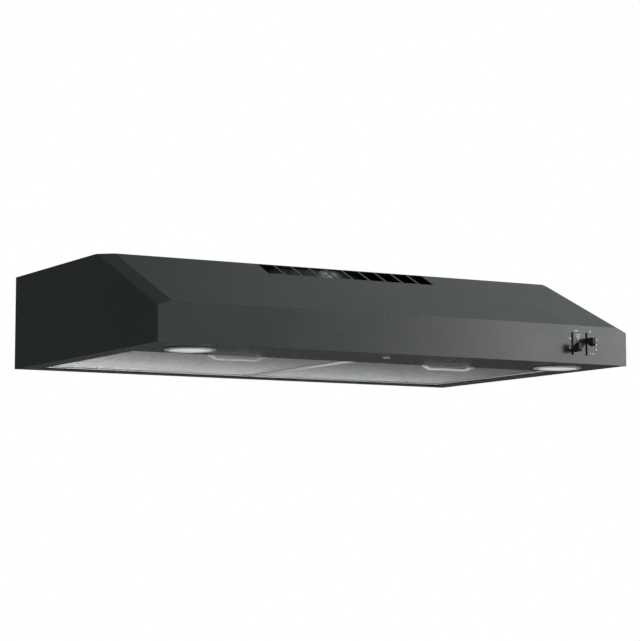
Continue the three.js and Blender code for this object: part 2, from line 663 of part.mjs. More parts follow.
// The scroll: a spiral that opens out anticlockwise and leaves towards the wall.
function scrollOutline(inset, mouth) {
  const steps = 44;
  const start = THREE.MathUtils.degToRad(TONGUE_ANGLE);
  const spiral = Array.from({ length: steps + 1 }, (_, i) => i / steps).map((t) => {
    const angle = start + t * (2 * Math.PI - start);
    const radius = SCROLL_START + (SCROLL_END - SCROLL_START) * t - inset;
    return [BLOWER_X + radius * Math.cos(angle), BLOWER_Y + radius * Math.sin(angle)];
  });
  const outerX = BLOWER_X + SCROLL_END - inset;
  const tongueX = BLOWER_X + SCROLL_START * Math.cos(start) + inset;
  const tongueY = BLOWER_Y + SCROLL_START * Math.sin(start);
  return [[tongueX, tongueY], ...spiral.slice(inset > 0 ? 0 : 1), [outerX, mouth], [tongueX, mouth]];
}

function blowerHousing() {
  const outer = alongZ(scrollOutline(0, MOUTH), BLOWER_FLOOR, CEILING);
  const inner = alongZ(scrollOutline(SHEET, MOUTH + 5), BLOWER_FLOOR - 1, CEILING - SHEET);
  return cut(outer, inner);
}

const bracketAngles = [90, 210, 330].map(THREE.MathUtils.degToRad);
const bracketScrewRadius = BRACKET_REACH - BRACKET_ARM / 2 + SCREW_RADIUS;
const bracketScrews = bracketAngles.map((angle) => [
  BLOWER_X + bracketScrewRadius * Math.cos(angle), BLOWER_Y + bracketScrewRadius * Math.sin(angle)]);

function inletPlate() {
  const top = BLOWER_FLOOR - GAP;
  const plate = alongZ(scrollOutline(0, MOUTH), top - SHEET, top);
  const lip = turned([[INLET_RADIUS, 0], [INLET_RADIUS + SHEET, 0], [INLET_RADIUS + SHEET, INLET_LIP],
    [INLET_RADIUS, INLET_LIP], [INLET_RADIUS, 0]], 40).translate(BLOWER_X, BLOWER_Y, top - SHEET);
  const eye = rod(INLET_RADIUS, top - SHEET - 1, top + INLET_LIP, BLOWER_X, BLOWER_Y, 40);
  const holes = bracketScrews.map(([x, y]) => uprightHole(x, y, top - SHEET - 1, top + 1));
  return cut(union(plate, lip), eye, ...holes);
}

const BRACKET_TOP = BLOWER_FLOOR - 2 * GAP - SHEET;

function motorBracket() {
  const z0 = BRACKET_TOP - BRACKET_SHEET;
  const arms = bracketAngles.map((angle) => {
    const arm = new THREE.BoxGeometry(BRACKET_REACH, BRACKET_ARM, BRACKET_SHEET);
    arm.translate(BRACKET_REACH / 2, 0, z0 + BRACKET_SHEET / 2).rotateZ(angle);
    return solid(arm.translate(BLOWER_X, BLOWER_Y, 0));
  });
  const disc = rod(MOTOR_RADIUS, z0, BRACKET_TOP, BLOWER_X, BLOWER_Y);
  const holes = bracketScrews.map(([x, y]) => uprightHole(x, y, z0 - 1, BRACKET_TOP + 1));
  return cut(union(disc, ...arms), ...holes);
}

const MOTOR_BOTTOM = BRACKET_TOP + GAP;
const MOTOR_TOP = MOTOR_BOTTOM + MOTOR_LENGTH;
const IMPELLER_TOP = CEILING - SHEET - IMPELLER_CLEARANCE;
const IMPELLER_BOTTOM = BLOWER_FLOOR - GAP + IMPELLER_CLEARANCE;

function motor() {
  const r = MOTOR_RADIUS;
  const bore = SHAFT_RADIUS + GAP;
  return turned([[0, 0], [r - MOTOR_EDGE, 0], [r, MOTOR_EDGE], [r, MOTOR_LENGTH - 2 * MOTOR_EDGE],
    [r - MOTOR_EDGE, MOTOR_LENGTH - MOTOR_EDGE], [SHAFT_RADIUS * 2.5, MOTOR_LENGTH - MOTOR_EDGE],
    [SHAFT_RADIUS * 2.5, MOTOR_LENGTH], [bore, MOTOR_LENGTH], [bore, MOTOR_EDGE], [0, MOTOR_EDGE]])
    .translate(BLOWER_X, BLOWER_Y, MOTOR_BOTTOM);
}

function impeller() {
  const bladeHeight = IMPELLER_TOP - IMPELLER_BOTTOM - HUB_SHEET;
  const disc = rod(IMPELLER_RADIUS, IMPELLER_TOP - HUB_SHEET, IMPELLER_TOP, 0, 0, 48);
  const boss = rod(HUB_RADIUS, IMPELLER_TOP - HUB_LENGTH, IMPELLER_TOP);
  const ring = cut(rod(IMPELLER_RADIUS, IMPELLER_BOTTOM, IMPELLER_BOTTOM + HUB_SHEET, 0, 0, 48),
    rod(IMPELLER_RADIUS - BLADE_CHORD, IMPELLER_BOTTOM - 1, IMPELLER_BOTTOM + HUB_SHEET + 1, 0, 0, 48));
  const blades = Array.from({ length: BLADE_COUNT }, (_, i) => {
    const blade = new THREE.BoxGeometry(BLADE_CHORD * 0.9, BLADE_SHEET, bladeHeight);
    blade.rotateZ(THREE.MathUtils.degToRad(BLADE_TILT));
    blade.translate(IMPELLER_RADIUS - BLADE_CHORD / 2, 0, (IMPELLER_TOP + IMPELLER_BOTTOM) / 2);
    return solid(blade.rotateZ((2 * Math.PI * i) / BLADE_COUNT));
  });
  const bore = rod(SHAFT_RADIUS + GAP, IMPELLER_BOTTOM, IMPELLER_TOP + 1);
  return cut(union(disc, boss, ring, ...blades), bore).translate(BLOWER_X, BLOWER_Y, 0);
}

function impellerShaft() {
  return rod(SHAFT_RADIUS, MOTOR_TOP - MOTOR_LENGTH / 2, IMPELLER_TOP + 2, BLOWER_X, BLOWER_Y, 16);
}

// An open-topped box that turns the air from the scroll up into the collar.
function outletBox() {
  const half = DUCT_WIDTH / 2 + SHEET;
  const rear = PORT_PLATE_FRONT - GAP;
  const floor = REAR_PORT_BOTTOM - SHEET;
  const shell = box(-half, half, OUTLET_FRONT, rear, floor, CEILING);
  const hollow = box(SHEET - half, half - SHEET, OUTLET_FRONT + SHEET, rear + 1, floor + SHEET, CEILING + 1);
  const [tongueX, outerX] = [BLOWER_X + SCROLL_START * Math.cos(THREE.MathUtils.degToRad(TONGUE_ANGLE)),
    BLOWER_X + SCROLL_END];
  const inlet = box(tongueX + SHEET, outerX - SHEET, OUTLET_FRONT - 1, OUTLET_FRONT + SHEET + 1,
    floor + 2 * SHEET, CEILING - SHEET);
  return cut(shell, hollow, inlet);
}

function addBlower() {
  add('blower_housing', blowerHousing(), blackPaint);
  add('inlet_plate', inletPlate(), blackPaint);
  add('outlet_box', outletBox(), galvanised);
  add('motor_bracket', motorBracket(), galvanised);
  add('motor', motor(), steel);
  add('impeller', impeller(), blackPlastic);
  add('impeller_shaft', impellerShaft(), steel);
  bracketScrews.forEach(([x, y], i) => {
    addScrew(`bracket_screw_${i + 1}`, x, y, BRACKET_TOP - BRACKET_SHEET, HEAD_DOWN);
  });
}

// ---------------------------------------------------------------- switches

const BRACKET_FRONT = FRONT + SHEET + GAP;
const SWITCH_FRONT = BRACKET_FRONT + SHEET + GAP;
const SWITCH_MIDDLE = RIM + SLOT_BOTTOM + SLOT_HEIGHT / 2;

function switchBracket() {
  const reach = SWITCH_BODY_WIDTH / 2 + SWITCH_BRACKET_MARGIN;
  const plate = box(slotX.fan - reach, slotX.light + reach, BRACKET_FRONT, BRACKET_FRONT + SHEET,
    SWITCH_MIDDLE - SWITCH_BODY_HEIGHT / 2, SWITCH_MIDDLE + SWITCH_BODY_HEIGHT / 2);
  return cut(plate, ...switchSlots(FRONT, SWITCH_FRONT + 1));
}

function switchBody(x) {
  const halfWidth = SWITCH_BODY_WIDTH / 2;
  const halfHeight = SWITCH_BODY_HEIGHT / 2;
  const body = box(x - halfWidth, x + halfWidth, SWITCH_FRONT, SWITCH_FRONT + SWITCH_BODY_DEPTH,
    SWITCH_MIDDLE - halfHeight, SWITCH_MIDDLE + halfHeight);
  const groove = box(x - SLOT_WIDTH / 2, x + SLOT_WIDTH / 2, SWITCH_FRONT - 1,
    SWITCH_FRONT + SWITCH_GROOVE_DEPTH, RIM + SLOT_BOTTOM, RIM + SLOT_BOTTOM + SLOT_HEIGHT);
  return cut(body, groove);
}

// A lever that thickens towards its rounded nose, upwards for rise 1 and downwards for -1,
// with a stem that reaches into the switch.
function knob(rise) {
  const back = FRONT - KNOB_STANDOFF;
  const nose = back - KNOB_REACH;
  const crest = back - KNOB_CREST;
  const low = -KNOB_ROOT / 2;
  const high = low + KNOB_HEIGHT;
  const round = KNOB_HEIGHT / 4;
  const profile = [[back, low], [nose + round, low], [nose, low + round], [nose, high - 2 * round],
    [nose + round, high - round / 2], [nose + 2 * round, high], [crest, high], [back + low, -low],
    [back, -low]];
  const grip = alongX(profile.map(([y, z]) => [y, rise * z]), -KNOB_WIDTH / 2, KNOB_WIDTH / 2);
  const stem = box(-STEM_WIDTH / 2, STEM_WIDTH / 2, back - 1, SWITCH_FRONT + SWITCH_GROOVE_DEPTH - 2,
    -STEM_HEIGHT / 2, STEM_HEIGHT / 2);
  return union(grip, stem);
}

function addSwitches() {
  add('switch_bracket', switchBracket(), galvanised);
  add('fan_switch', switchBody(slotX.fan), blackPlastic);
  add('light_switch', switchBody(slotX.light), blackPlastic);
  add('fan_knob', knob(1), blackPlastic, groupAt(slotX.fan, 0, RIM + FAN_KNOB_HEIGHT_AT_REST));
  add('light_knob', knob(-1), blackPlastic, groupAt(slotX.light, 0, RIM + LIGHT_KNOB_HEIGHT_AT_REST));
}

// ---------------------------------------------------------------- wiring

const boxRight = WIRING_BOX_X + WIRING_BOX_WIDTH;
const boxFront = INNER_WALL - WIRING_BOX_DEPTH;
const boxBottom = CEILING - WIRING_BOX_HEIGHT;
const coverScrews = [WIRING_BOX_X + WIRING_BOX_WIDTH / 4, boxRight - WIRING_BOX_WIDTH / 4]
  .map((x) => [x, boxFront + COVER_TAB / 2 + SHEET]);

function wiringBox() {
  const shell = box(WIRING_BOX_X, boxRight, boxFront, INNER_WALL, boxBottom, CEILING);
  const hollow = box(WIRING_BOX_X + SHEET, boxRight - SHEET, boxFront + SHEET, INNER_WALL - SHEET,
    boxBottom - 1, CEILING - SHEET);
  const tabRear = boxFront + SHEET + COVER_TAB;
  const tab = box(WIRING_BOX_X, boxRight, boxFront, tabRear, boxBottom, boxBottom + SHEET);
  const cable = levelHole(cableHoleX, -CABLE_HOLE_DROP, INNER_WALL - 5, WALL, CABLE_HOLE_RADIUS, 24);
  const holes = coverScrews.map(([x, y]) => uprightHole(x, y, boxBottom - 1, boxBottom + SHEET + 1));
  return cut(union(cut(shell, hollow), tab), cable, ...holes);
}

function wiringCover() {
  const cover = box(WIRING_BOX_X, boxRight, boxFront, INNER_WALL, boxBottom - GAP - SHEET, boxBottom - GAP);
  return cut(cover, ...coverScrews.map(([x, y]) => uprightHole(x, y, boxBottom - 9, boxBottom)));
}

function cableBushing() {
  const barrel = CABLE_HOLE_RADIUS - GAP;
  const inside = INNER_WALL - SHEET - GAP;
  const ring = turned([[CABLE_BORE_RADIUS, 0], [barrel, 0], [barrel, WALL - inside],
    [barrel + BUSHING_FLANGE, WALL - inside], [barrel + BUSHING_FLANGE, WALL - inside + BUSHING_FLANGE],
    [CABLE_BORE_RADIUS, WALL - inside + BUSHING_FLANGE], [CABLE_BORE_RADIUS, 0]], 24);
  return ring.rotate([90, 0, 0]).translate(cableHoleX, WALL, -CABLE_HOLE_DROP);
}

function terminalBlock() {
  const [width, depth, height] = TERMINAL_SIZE;
  const x = WIRING_BOX_X + TERMINAL_FROM_SIDE;
  const y = boxFront + TERMINAL_FROM_FRONT;
  const top = CEILING - SHEET - GAP;
  const block = box(x, x + width, y, y + depth, top - height, top);
  const wells = [0.2, 0.5, 0.8].map((t) => rod(TERMINAL_WELL_RADIUS, top - height - 1,
    top - height + TERMINAL_WELL_DEPTH, x + width * t, y + depth / 2, 12));
  return cut(block, ...wells);
}

function motorCapacitor() {
  const z = CEILING - SHEET - GAP - CAPACITOR_RADIUS;
  const geometry = new THREE.CylinderGeometry(CAPACITOR_RADIUS, CAPACITOR_RADIUS, CAPACITOR_LENGTH, 24);
  const x = boxRight - CAPACITOR_FROM_SIDE - CAPACITOR_LENGTH / 2;
  return solid(geometry.rotateZ(Math.PI / 2).translate(x, boxFront + CAPACITOR_FROM_FRONT, z));
}

function addWiring() {
  add('wiring_box', wiringBox(), galvanised);
  add('wiring_box_cover', wiringCover(), galvanised);
  add('cable_bushing', cableBushing(), rubber);
  add('terminal_block', terminalBlock(), ceramic);
  add('motor_capacitor', motorCapacitor(), aluminium);
  coverScrews.forEach(([x, y], i) => {
    addScrew(`cover_screw_${i + 1}`, x, y, boxBottom - GAP - SHEET, HEAD_DOWN);
  });
}

// ---------------------------------------------------------------- assembly

addCanopy();
addUnderside();
addFilter('left', -1);
addFilter('right', 1);
addLamp('left', -lampX);
addLamp('right', lampX);
addDuct();
addBlower();
addSwitches();
addWiring();

export default hood;
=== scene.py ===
"""Under cabinet range hood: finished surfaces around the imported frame, in metres."""
import json
import math

import bmesh
import bpy
from mathutils import Matrix, Vector, noise


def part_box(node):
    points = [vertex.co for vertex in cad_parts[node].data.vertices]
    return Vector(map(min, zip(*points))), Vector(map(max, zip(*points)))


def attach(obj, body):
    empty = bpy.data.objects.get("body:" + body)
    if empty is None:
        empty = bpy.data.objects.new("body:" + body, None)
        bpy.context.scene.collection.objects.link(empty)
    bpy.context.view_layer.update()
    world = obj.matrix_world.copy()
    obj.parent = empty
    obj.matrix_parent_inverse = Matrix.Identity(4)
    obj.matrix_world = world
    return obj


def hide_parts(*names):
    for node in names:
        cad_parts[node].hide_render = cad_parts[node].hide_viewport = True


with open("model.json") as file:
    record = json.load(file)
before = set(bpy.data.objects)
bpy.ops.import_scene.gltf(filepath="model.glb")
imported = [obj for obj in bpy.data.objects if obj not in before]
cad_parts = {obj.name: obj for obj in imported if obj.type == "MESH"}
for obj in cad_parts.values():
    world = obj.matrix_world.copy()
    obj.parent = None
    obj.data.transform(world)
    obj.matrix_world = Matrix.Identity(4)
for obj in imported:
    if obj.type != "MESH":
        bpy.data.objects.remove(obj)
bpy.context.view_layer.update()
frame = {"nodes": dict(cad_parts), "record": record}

MM = 0.001

# ------------------------------------------------------------------ camera, light and stage

CAMERA_YAW = math.radians(29.61)    # turned from +Y towards +X
CAMERA_PITCH = math.radians(6.04)   # looking slightly up
CAMERA_DISTANCE = 3.1720
CAMERA_LENS = 120.28
CAMERA_AIM = Vector((0.0024, -0.0016, -0.0680))
FLOOR_DROP = 2.60                   # the hood hangs this far above the floor


def make_camera():
    data = bpy.data.cameras.new("camera")
    data.lens = CAMERA_LENS
    data.sensor_width = 36
    data.clip_end = 100
    camera = bpy.data.objects.new("camera", data)
    bpy.context.scene.collection.objects.link(camera)
    flat = math.cos(CAMERA_PITCH)
    forward = Vector((math.sin(CAMERA_YAW) * flat, math.cos(CAMERA_YAW) * flat, math.sin(CAMERA_PITCH)))
    camera.location = CAMERA_AIM - forward * CAMERA_DISTANCE
    camera.rotation_euler = forward.to_track_quat("-Z", "Y").to_euler()
    bpy.context.scene.camera = camera


def make_area_light(name, place, target, size, power):
    data = bpy.data.lights.new(name, "AREA")
    data.shape = "RECTANGLE"
    data.size, data.size_y = size
    data.energy = power
    light = bpy.data.objects.new(name, data)
    light.location = place
    light.rotation_euler = (Vector(target) - Vector(place)).to_track_quat("-Z", "Y").to_euler()
    light.visible_camera = False
    bpy.context.scene.collection.objects.link(light)


def map_range(nodes, links, source, start, end, low, high):
    node = nodes.new("ShaderNodeMapRange")
    node.interpolation_type = "SMOOTHSTEP"
    for socket, value in (("From Min", start), ("From Max", end), ("To Min", low), ("To Max", high)):
        node.inputs[socket].default_value = value
    links.new(source, node.inputs["Value"])
    return node.outputs["Result"]


def combine(nodes, links, operation, first, second):
    node = nodes.new("ShaderNodeMath")
    node.operation = operation
    links.new(first, node.inputs[0])
    links.new(second, node.inputs[1])
    return node.outputs[0]


def white_to_camera(nodes, links, other, surface):
    """The camera sees plain white; every other ray gets the given shader."""
    white = nodes.new("ShaderNodeEmission" if surface == "floor" else "ShaderNodeBackground")
    white.inputs["Color"].default_value = (1, 1, 1, 1)
    white.inputs["Strength"].default_value = 1
    rays = nodes.new("ShaderNodeLightPath")
    mix = nodes.new("ShaderNodeMixShader")
    links.new(rays.outputs["Is Camera Ray"], mix.inputs[0])
    links.new(other, mix.inputs[1])
    links.new(white.outputs[0], mix.inputs[2])
    return mix.outputs[0]


FRONT_TONE = 0.62       # studio brightness in front of the hood
BACK_TONE = 0.05        # and behind it
RIGHT_GLOW = 0.40       # added high up on the right
LEFT_GLOW = 0.10        # added on the left


def make_world():
    """White where the camera looks; a soft studio around it for everything else."""
    world = bpy.data.worlds.new("studio")
    bpy.context.scene.world = world
    world.use_nodes = True
    nodes, links = world.node_tree.nodes, world.node_tree.links
    nodes.clear()
    direction = nodes.new("ShaderNodeTexCoord")
    split = nodes.new("ShaderNodeSeparateXYZ")
    links.new(direction.outputs["Generated"], split.inputs[0])
    depth = map_range(nodes, links, split.outputs["Y"], -1, 0.9, FRONT_TONE, BACK_TONE)
    right = map_range(nodes, links, split.outputs["X"], 0.3, 0.75, 0, RIGHT_GLOW)
    left = map_range(nodes, links, split.outputs["X"], -0.75, -0.2, LEFT_GLOW, 0)
    height = map_range(nodes, links, split.outputs["Z"], 0.05, 0.5, 0, 1)
    sides = combine(nodes, links, "ADD", left, combine(nodes, links, "MULTIPLY", right, height))
    tone = combine(nodes, links, "ADD", depth, sides)
    soft = nodes.new("ShaderNodeBackground")
    links.new(tone, soft.inputs["Strength"])
    soft.inputs["Color"].default_value = (0.97, 1, 1, 1)
    output = nodes.new("ShaderNodeOutputWorld")
    links.new(white_to_camera(nodes, links, soft.outputs[0], "world"), output.inputs["Surface"])


def make_floor():
    mesh = bpy.data.meshes.new("floor")
    bm = bmesh.new()
    bmesh.ops.create_circle(bm, cap_ends=True, segments=64, radius=14)
    bm.to_mesh(mesh)
    bm.free()
    floor = bpy.data.objects.new("floor", mesh)
    floor.location.z = -FLOOR_DROP
    bpy.context.scene.collection.objects.link(floor)
    material = bpy.data.materials.new("pale_floor")
    material.use_nodes = True
    nodes, links = material.node_tree.nodes, material.node_tree.links
    shader = nodes["Principled BSDF"]
    shader.inputs["Base Color"].default_value = (0.15, 0.15, 0.15, 1)
    shader.inputs["Roughness"].default_value = 0.9
    output = nodes["Material Output"]
    links.new(white_to_camera(nodes, links, shader.outputs[0], "floor"), output.inputs["Surface"])
    mesh.materials.append(material)


# ------------------------------------------------------------------ materials

MIDDLE = (0.3, 0.7)     # the part of a pattern's values that carries its contrast


class Surface:
    """A Principled material whose pattern is laid out in the hood's own coordinates."""

    def __init__(self, name, color, roughness, metallic=0.0):
        self.material = bpy.data.materials.new(name)
        self.material.use_nodes = True
        self.nodes = self.material.node_tree.nodes
        self.links = self.material.node_tree.links
        self.shader = self.nodes["Principled BSDF"]
        self.color = color
        self.set("Base Color", (*color, 1))
        self.set("Roughness", roughness)
        self.set("Metallic", metallic)
        self.place = self.nodes.new("ShaderNodeTexCoord").outputs["Object"]

    def set(self, socket, value):
        self.shader.inputs[socket].default_value = value

    def stretched(self, scale):
        mapping = self.nodes.new("ShaderNodeMapping")
        mapping.inputs["Scale"].default_value = scale
        self.links.new(self.place, mapping.inputs["Vector"])
        return mapping.outputs["Vector"]

    def noise(self, scale, detail=2.0, roughness=0.5, stretch=(1, 1, 1)):
        node = self.nodes.new("ShaderNodeTexNoise")
        node.inputs["Scale"].default_value = scale
        node.inputs["Detail"].default_value = detail
        node.inputs["Roughness"].default_value = roughness
        self.links.new(self.stretched(stretch), node.inputs["Vector"])
        return node.outputs["Fac"]

    def cells(self, scale, output="Color", stretch=(1, 1, 1)):
        node = self.nodes.new("ShaderNodeTexVoronoi")
        node.inputs["Scale"].default_value = scale
        self.links.new(self.stretched(stretch), node.inputs["Vector"])
        return node.outputs[output]

    def spread(self, source, low, high):
        """source's middle stretched to run from low to high."""
        node = self.nodes.new("ShaderNodeMapRange")
        for socket, value in zip(("From Min", "From Max", "To Min", "To Max"), (*MIDDLE, low, high)):
            node.inputs[socket].default_value = value
        self.links.new(source, node.inputs["Value"])
        return node.outputs["Result"]

    def tint(self, source, dark, light):
        ramp = self.nodes.new("ShaderNodeValToRGB")
        for stop, position, tone in zip(ramp.color_ramp.elements, MIDDLE, (dark, light)):
            stop.position = position
            stop.color = (*[c * tone for c in self.color], 1)
        self.links.new(source, ramp.inputs["Fac"])
        self.links.new(ramp.outputs["Color"], self.shader.inputs["Base Color"])

    def vary_roughness(self, source, low, high):
        self.links.new(self.spread(source, low, high), self.shader.inputs["Roughness"])

    def bump(self, source, depth, strength=1.0):
        node = self.nodes.new("ShaderNodeBump")
        node.inputs["Distance"].default_value = depth
        node.inputs["Strength"].default_value = strength
        self.links.new(source, node.inputs["Height"])
        chained = self.shader.inputs["Normal"].links
        if chained:
            self.links.new(chained[0].from_socket, node.inputs["Normal"])
        self.links.new(node.outputs["Normal"], self.shader.inputs["Normal"])


def black_paint():
    s = Surface("black_paint", (0.030, 0.036, 0.0365), 0.27)
    s.tint(s.noise(3.5, detail=4), 0.93, 1.08)
    s.vary_roughness(s.noise(14, detail=6, roughness=0.6), 0.24, 0.31)
    s.bump(s.noise(650, detail=2), 0.00002)
    s.bump(s.noise(2600, detail=1), 0.000006)
    return s.material


def galvanised_steel():
    s = Surface("galvanised_steel", (0.52, 0.54, 0.55), 0.4, metallic=1.0)
    s.tint(s.cells(95), 0.72, 1.12)
    s.vary_roughness(s.cells(95, "Distance"), 0.30, 0.48)
    s.bump(s.noise(300, detail=4), 0.00002)
    return s.material


def brushed_aluminium(name, tone, low, high, stretch):
    s = Surface(name, tone, low, metallic=1.0)
    streaks = s.noise(60, detail=6, roughness=0.65, stretch=stretch)
    s.tint(s.noise(40, detail=3), 0.93, 1.05)
    s.vary_roughness(streaks, low, high)
    s.bump(streaks, 0.00002)
    return s.material


def expanded_aluminium():
    s = Surface("expanded_aluminium", (0.78, 0.79, 0.80), 0.4, metallic=1.0)
    s.tint(s.noise(90, detail=3), 0.86, 1.08)
    s.vary_roughness(s.noise(400, detail=2), 0.34, 0.50)
    s.bump(s.noise(1500, detail=2), 0.00003)
    return s.material


def crumpled_foil():
    s = Surface("crumpled_foil", (0.62, 0.63, 0.64), 0.4, metallic=1.0)
    s.tint(s.cells(220), 0.7, 1.1)
    s.vary_roughness(s.noise(250, detail=3), 0.3, 0.5)
    s.bump(s.cells(260, "Distance"), 0.0008, 0.8)
    return s.material


def turned_steel():
    s = Surface("plain_steel", (0.42, 0.43, 0.44), 0.35, metallic=1.0)
    s.tint(s.noise(120, detail=4), 0.85, 1.1)
    s.vary_roughness(s.noise(500, detail=3), 0.28, 0.45)
    s.bump(s.noise(900, detail=3), 0.00002)
    return s.material


def white_trim():
    s = Surface("white_trim", (0.80, 0.81, 0.81), 0.22)
    s.tint(s.noise(30, detail=3), 0.97, 1.02)
    s.vary_roughness(s.noise(120, detail=4), 0.17, 0.28)
    s.bump(s.noise(1200, detail=1), 0.000008)
    s.set("Coat Weight", 0.4)
    s.set("Coat Roughness", 0.12)
    return s.material


def frosted_lens_painted_glow():
    s = Surface("frosted_lens_painted_glow", (0.90, 0.90, 0.885), 0.3)
    s.tint(s.noise(60, detail=3), 0.97, 1.02)
    s.vary_roughness(s.noise(700, detail=2), 0.24, 0.38)
    s.bump(s.noise(1800, detail=2), 0.00003)
    s.set("Subsurface Weight", 0.25)
    s.set("Subsurface Radius", (0.004, 0.004, 0.004))
    # Faint emission: a painted glow that brightens the lens, since no light inside the lamp is lit
    s.set("Emission Color", (1, 0.99, 0.96, 1))
    s.set("Emission Strength", 0.32)
    return s.material


def lamp_glass():
    s = Surface("lamp_glass", (0.93, 0.92, 0.89), 0.25)
    s.tint(s.noise(80, detail=2), 0.96, 1.02)
    s.vary_roughness(s.noise(900, detail=2), 0.18, 0.3)
    s.set("Transmission Weight", 0.5)
    return s.material


def ceramic():
    s = Surface("ceramic", (0.76, 0.73, 0.66), 0.6)
    s.tint(s.noise(140, detail=5), 0.92, 1.04)
    s.vary_roughness(s.noise(500, detail=3), 0.5, 0.7)
    s.bump(s.noise(1400, detail=3), 0.00005)
    return s.material


def black_plastic():
    s = Surface("black_plastic", (0.011, 0.0115, 0.012), 0.42)
    s.tint(s.noise(200, detail=3), 0.8, 1.3)
    s.vary_roughness(s.noise(900, detail=2), 0.34, 0.5)
    s.bump(s.noise(2400, detail=2), 0.00003)
    return s.material


def black_rubber():
    s = Surface("black_rubber", (0.018, 0.018, 0.018), 0.8)
    s.tint(s.noise(300, detail=4), 0.8, 1.25)
    s.vary_roughness(s.noise(800, detail=2), 0.7, 0.9)
    s.bump(s.noise(1600, detail=3), 0.00005)
    return s.material


def white_ink():
    s = Surface("white_ink", (0.82, 0.83, 0.83), 0.5)
    s.tint(s.noise(1500, detail=3), 0.85, 1.1)
    s.vary_roughness(s.noise(2000, detail=2), 0.42, 0.6)
    return s.material


MATERIALS = {
    "black_paint": black_paint(),
    "galvanised_steel": galvanised_steel(),
    "filter_frame": brushed_aluminium("filter_frame", (0.88, 0.89, 0.90), 0.40, 0.52, (1, 14, 14)),
    "filter_mesh": expanded_aluminium(),
    "bright_metal": brushed_aluminium("bright_metal", (0.93, 0.93, 0.93), 0.36, 0.48, (1, 12, 12)),
    "plain_steel": turned_steel(),
    "lamp_trim": white_trim(),
    "lamp_lens": frosted_lens_painted_glow(),
    "lamp_glass": lamp_glass(),
    "ceramic": ceramic(),
    "black_plastic": black_plastic(),
    "black_rubber": black_rubber(),
}
FOIL = crumpled_foil()
INK = white_ink()

SLOT_OF = {p["node"]: p["material_slot"] for p in frame["record"]["subparts"]}
BODY_OF = {n: body for body, members in frame["record"]["behaviour"]["bodies"].items() for n in members}


# ------------------------------------------------------------------ making pieces

SHARP_TURN = math.radians(50)
EDGE_ROUND = 0.35 * MM


def smooth_faces(obj):
    for face in obj.data.polygons:
        face.use_smooth = True


def round_edges(obj, width, segments):
    bevel = obj.modifiers.new("edges", "BEVEL")
    bevel.width = width
    bevel.segments = segments
    bevel.limit_method = "ANGLE"
    bevel.angle_limit = SHARP_TURN


def shade_smooth(obj):
    smooth_faces(obj)
    weighted = obj.modifiers.new("weighted", "WEIGHTED_NORMAL")
    weighted.mode = "FACE_AREA_WITH_ANGLE"
    weighted.weight = 80


def make_piece(name, bm, node, material=None, hides=True):
    """Turns bm into a piece that rides with a CAD node's body, has its finish and stands for it."""
    bmesh.ops.recalc_face_normals(bm, faces=bm.faces)
    mesh = bpy.data.meshes.new(name)
    bm.to_mesh(mesh)
    bm.free()
    obj = bpy.data.objects.new(name, mesh)
    bpy.context.scene.collection.objects.link(obj)
    mesh.materials.append(material or MATERIALS[SLOT_OF[node]])
    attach(obj, BODY_OF[node])
    if hides:
        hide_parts(node)
    return obj


FOLD_LIMIT = math.radians(80)
CREASE_START = math.radians(10)
SHARP_START = math.radians(40)      # a turned piece's edges stay sharp from here
FLAT_LIMIT = math.radians(0.4)
WELD = 0.01 * MM


def refine(node, fold=1.2 * MM, rim=0.2 * MM):
    """A copy of a CAD node with its folds rounded by fold and its cut edges by rim."""
    bm = bmesh.new()
    bm.from_mesh(frame["nodes"][node].data)
    bmesh.ops.remove_doubles(bm, verts=bm.verts, dist=WELD)
    bmesh.ops.dissolve_limit(bm, angle_limit=FLAT_LIMIT, verts=bm.verts, edges=bm.edges)
    weight = bm.edges.layers.float.new("bevel_weight_edge")
    for edge in bm.edges:
        if len(edge.link_faces) != 2:
            continue
        angle = edge.calc_face_angle(0)
        if angle > CREASE_START:
            edge[weight] = 1.0 if angle < FOLD_LIMIT else rim / fold
    obj = make_piece(f"{node}_finish", bm, node)
    bevel = obj.modifiers.new("edges", "BEVEL")
    bevel.limit_method = "WEIGHT"
    bevel.width = fold
    bevel.segments = 3
    shade_smooth(obj)


def smooth_copy(node):
    """A copy of a turned or curved CAD node, shaded round, with only its real edges left sharp."""
    bm = bmesh.new()
    bm.from_mesh(frame["nodes"][node].data)
    bmesh.ops.remove_doubles(bm, verts=bm.verts, dist=WELD)
    for edge in bm.edges:
        edge.smooth = len(edge.link_faces) == 2 and edge.calc_face_angle(0) < SHARP_START
    smooth_faces(make_piece(f"{node}_finish", bm, node))


def lathe(profile, segments, centre):
    """Turns [radius, height] points about a vertical axis through centre."""
    bm = bmesh.new()
    rings = []
    for radius, height in profile:
        if radius == 0:
            rings.append([bm.verts.new((centre[0], centre[1], centre[2] + height))])
            continue
        turns = [2 * math.pi * i / segments for i in range(segments)]
        rings.append([bm.verts.new((centre[0] + radius * math.cos(a), centre[1] + radius * math.sin(a),
                                    centre[2] + height)) for a in turns])
    for low, high in zip(rings, rings[1:]):
        for i in range(segments):
            j = (i + 1) % segments
            corners = [low[i % len(low)], low[j % len(low)], high[j % len(high)], high[i % len(high)]]
            unique = list(dict.fromkeys(corners))
            if len(unique) > 2:
                bm.faces.new(unique)
    return bm


def arc(centre, radius, start, end, steps):
    """Points on a circular arc, angles in degrees."""
    angles = [math.radians(start + (end - start) * i / steps) for i in range(steps + 1)]
    return [(centre[0] + radius * math.cos(a), centre[1] + radius * math.sin(a)) for a in angles]


# ------------------------------------------------------------------ body panels

